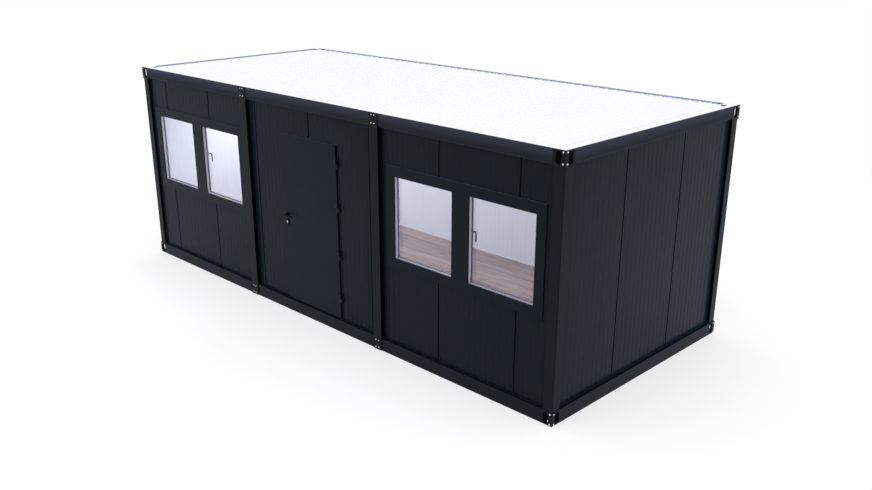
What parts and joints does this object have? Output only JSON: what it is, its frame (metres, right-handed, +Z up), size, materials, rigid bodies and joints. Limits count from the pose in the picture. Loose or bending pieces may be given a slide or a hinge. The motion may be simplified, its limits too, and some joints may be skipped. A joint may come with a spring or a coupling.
{
  "type": "portable site cabin",
  "caption": "Flat-roofed portable site cabin: bolted steel frame with slotted corner blocks, insulated panel walls, framed windows and an outward-opening door with a lever.",
  "frame": {"origin": "on the ground under the middle of the cabin's plan", "axes": "+X along the length, front wall with the door towards -Y, +Z up"},
  "size_m": [7, 3.047, 2.6],
  "materials": {
    "frame_steel": "satin anthracite powder coat",
    "wall_panel": "anthracite coated steel skin, white inside",
    "smooth_trim": "smooth anthracite sheet",
    "white_metal": "white coated steel sheet",
    "window_plastic": "white moulded plastic",
    "window_glass": "clear",
    "floor_laminate": "grey-brown wood laminate",
    "zinc_steel": "galvanised",
    "hinge_steel": "satin anthracite paint",
    "black_plastic": "matt black",
    "lock_metal": "bright nickel",
    "ceiling_white": "white coated ceiling"
  },
  "bodies": {
    "cabin": {"corner_posts": "frame_steel", "bottom_corner_blocks": "frame_steel", "top_corner_blocks": "frame_steel", "base_rail_front": "frame_steel", "base_rail_back": "frame_steel", "base_rails_end": "frame_steel", "roof_rail_front": "frame_steel", "roof_rail_back": "frame_steel", "roof_rails_end": "frame_steel", "front_posts": "frame_steel", "back_posts": "frame_steel", "floor_joists": "zinc_steel", "floor_pan": "zinc_steel", "floor_deck": "floor_laminate", "front_wall_left": "wall_panel", "front_wall_door_left": "wall_panel", "front_wall_door_right": "wall_panel", "front_wall_over_door": "wall_panel", "front_wall_right": "wall_panel", "back_wall": "wall_panel", "end_wall_left": "wall_panel", "end_wall_right": "wall_panel", "window_surround_left": "smooth_trim", "window_surround_right": "smooth_trim", "window_frames_left": "window_plastic", "window_frames_right": "window_plastic", "window_panes": "window_glass", "window_handles": "black_plastic", "door_frame": "smooth_trim", "door_threshold": "zinc_steel", "hinge_pins": "hinge_steel", "ceiling": "ceiling_white", "roof_sheet": "white_metal", "roof_trim": "white_metal"},
    "door": {"door_leaf": "smooth_trim", "hinge_knuckles": "hinge_steel", "lock_plates": "black_plastic", "lock_cylinder": "lock_metal"},
    "lever": {"door_lever": "black_plastic"}
  },
  "joints": [
    {"name": "door_swing", "type": "hinge", "parent": "cabin", "child": "door", "pos_m": [0.478, -1.483, 1.15], "axis": [0, 0, 1], "range_deg": [0, 110]},
    {"name": "lever_turn", "type": "hinge", "parent": "door", "child": "lever", "pos_m": [-0.4395, -1.451, 1.205], "axis": [0, 1, 0], "range_deg": [0, 40], "stiffness_Nm_per_rad": 2}
  ]
}
